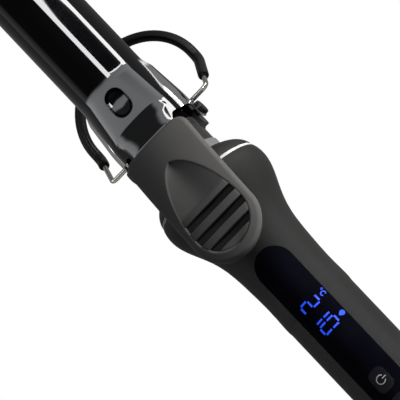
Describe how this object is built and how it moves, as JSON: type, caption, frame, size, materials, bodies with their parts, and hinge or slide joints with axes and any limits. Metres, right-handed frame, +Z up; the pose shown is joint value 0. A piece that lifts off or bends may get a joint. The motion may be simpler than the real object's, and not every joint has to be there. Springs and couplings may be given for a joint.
{
  "type": "curling iron",
  "caption": "Curling iron with a coated barrel, spring clamp and thumb lever, folding wire stand, display panel with buttons and a swivel cord outlet.",
  "frame": {"origin": "middle of the bounding box at table height, with the iron resting on its stand and its tail", "axes": "+X towards the barrel's tip, +Z up, +Y to the left when facing the tip"},
  "size_m": [0.3752, 0.0576, 0.0581],
  "materials": {
    "barrel_coat": "gloss black ceramic coating on metal",
    "tip_plastic": "matte black heat-resistant plastic",
    "neck_plastic": "satin dark grey plastic",
    "collar_plastic": "glossy grey ring",
    "soft_black": "matte soft-touch black",
    "nose_black": "matte black",
    "trim_grey": "gloss light grey",
    "lever_black": "matte dark grey-black",
    "lens": "gloss black lens",
    "digit_light": "lit blue figures",
    "button_gloss": "gloss black key",
    "bracket_black": "black painted steel",
    "screw_black": "black oxide steel",
    "screw_steel": "zinc plated steel",
    "spring_steel": "spring steel",
    "wire_chrome": "bright chromed wire",
    "sleeve_black": "black silicone sleeve with a sheen",
    "aluminium": "extruded aluminium",
    "ceramic": "white alumina",
    "sensor_glass": "glass bead on enamelled leads",
    "fuse_metal": "aluminium can",
    "lead_white": "white glass-fibre sleeved wire",
    "lead_black": "black insulated wire",
    "mica": "mica sheet",
    "board_green": "green fibreglass board",
    "chip_black": "moulded black epoxy",
    "capacitor_sleeve": "blue-black shrink sleeve",
    "terminal_white": "white nylon",
    "socket_plastic": "natural nylon",
    "gland_black": "matte black",
    "contact_brass": "brass"
  },
  "bodies": {
    "handle": {"barrel_tube": "barrel_coat", "cool_tip": "tip_plastic", "neck_sleeve": "neck_plastic", "neck_collar": "collar_plastic", "heat_shield": "mica", "heater_shell_upper": "aluminium", "heater_shell_lower": "aluminium", "ceramic_heater": "ceramic", "temperature_sensor": "sensor_glass", "heater_leads": "lead_white", "thermal_fuse": "fuse_metal", "hinge_saddle": "bracket_black", "pivot_screws": "screw_black", "saddle_screws": "screw_black", "clamp_spring": "spring_steel", "nose_cap": "nose_black", "trim_ring": "trim_grey", "upper_shell": "soft_black", "lower_shell": "soft_black", "shell_screws": "screw_steel", "display_window": "lens", "display_digits": "digit_light", "control_board": "board_green", "board_screws": "screw_steel", "led_module": "chip_black", "tact_switches": "chip_black", "controller_chip": "chip_black", "triac": "chip_black", "capacitor": "capacitor_sleeve", "lead_terminal": "terminal_white", "swivel_socket": "socket_plastic", "contact_brushes": "contact_brass", "mains_leads": "lead_black"},
    "clamp": {"clamp_plate": "barrel_coat", "thumb_lever": "lever_black", "lever_screws": "screw_steel"},
    "stand": {"stand_wire": "wire_chrome", "stand_sleeve": "sleeve_black"},
    "power_button": {"power_button": "button_gloss"},
    "plus_button": {"plus_button": "button_gloss"},
    "minus_button": {"minus_button": "button_gloss"},
    "cord_swivel": {"swivel_gland": "gland_black", "slip_rings": "contact_brass"}
  },
  "joints": [
    {"name": "clamp_pivot", "type": "hinge", "parent": "handle", "child": "clamp", "pos_m": [0.01499, 0, 0.024], "axis": [0, -1, 0], "range_deg": [0, 10], "stiffness_Nm_per_rad": 1.2, "springref_deg": -20.05, "deforming": ["clamp_spring"]},
    {"name": "stand_pivot", "type": "hinge", "parent": "handle", "child": "stand", "pos_m": [0.01994, 0, 0.02331], "axis": [0, 1, 0], "range_deg": [-13, 75]},
    {"name": "power_button_press", "type": "slide", "parent": "handle", "child": "power_button", "axis": [0.0628, 0, -0.998], "range_m": [0, 0.0004], "stiffness_N_per_m": 1500},
    {"name": "plus_button_press", "type": "slide", "parent": "handle", "child": "plus_button", "axis": [0.0628, 0, -0.998], "range_m": [0, 0.0004], "stiffness_N_per_m": 1500},
    {"name": "minus_button_press", "type": "slide", "parent": "handle", "child": "minus_button", "axis": [0.0628, 0, -0.998], "range_m": [0, 0.0004], "stiffness_N_per_m": 1500},
    {"name": "cord_turn", "type": "hinge", "parent": "handle", "child": "cord_swivel", "pos_m": [-0.17522, 0, 0.01502], "axis": [-0.998, 0, -0.0628], "continuous": true}
  ]
}
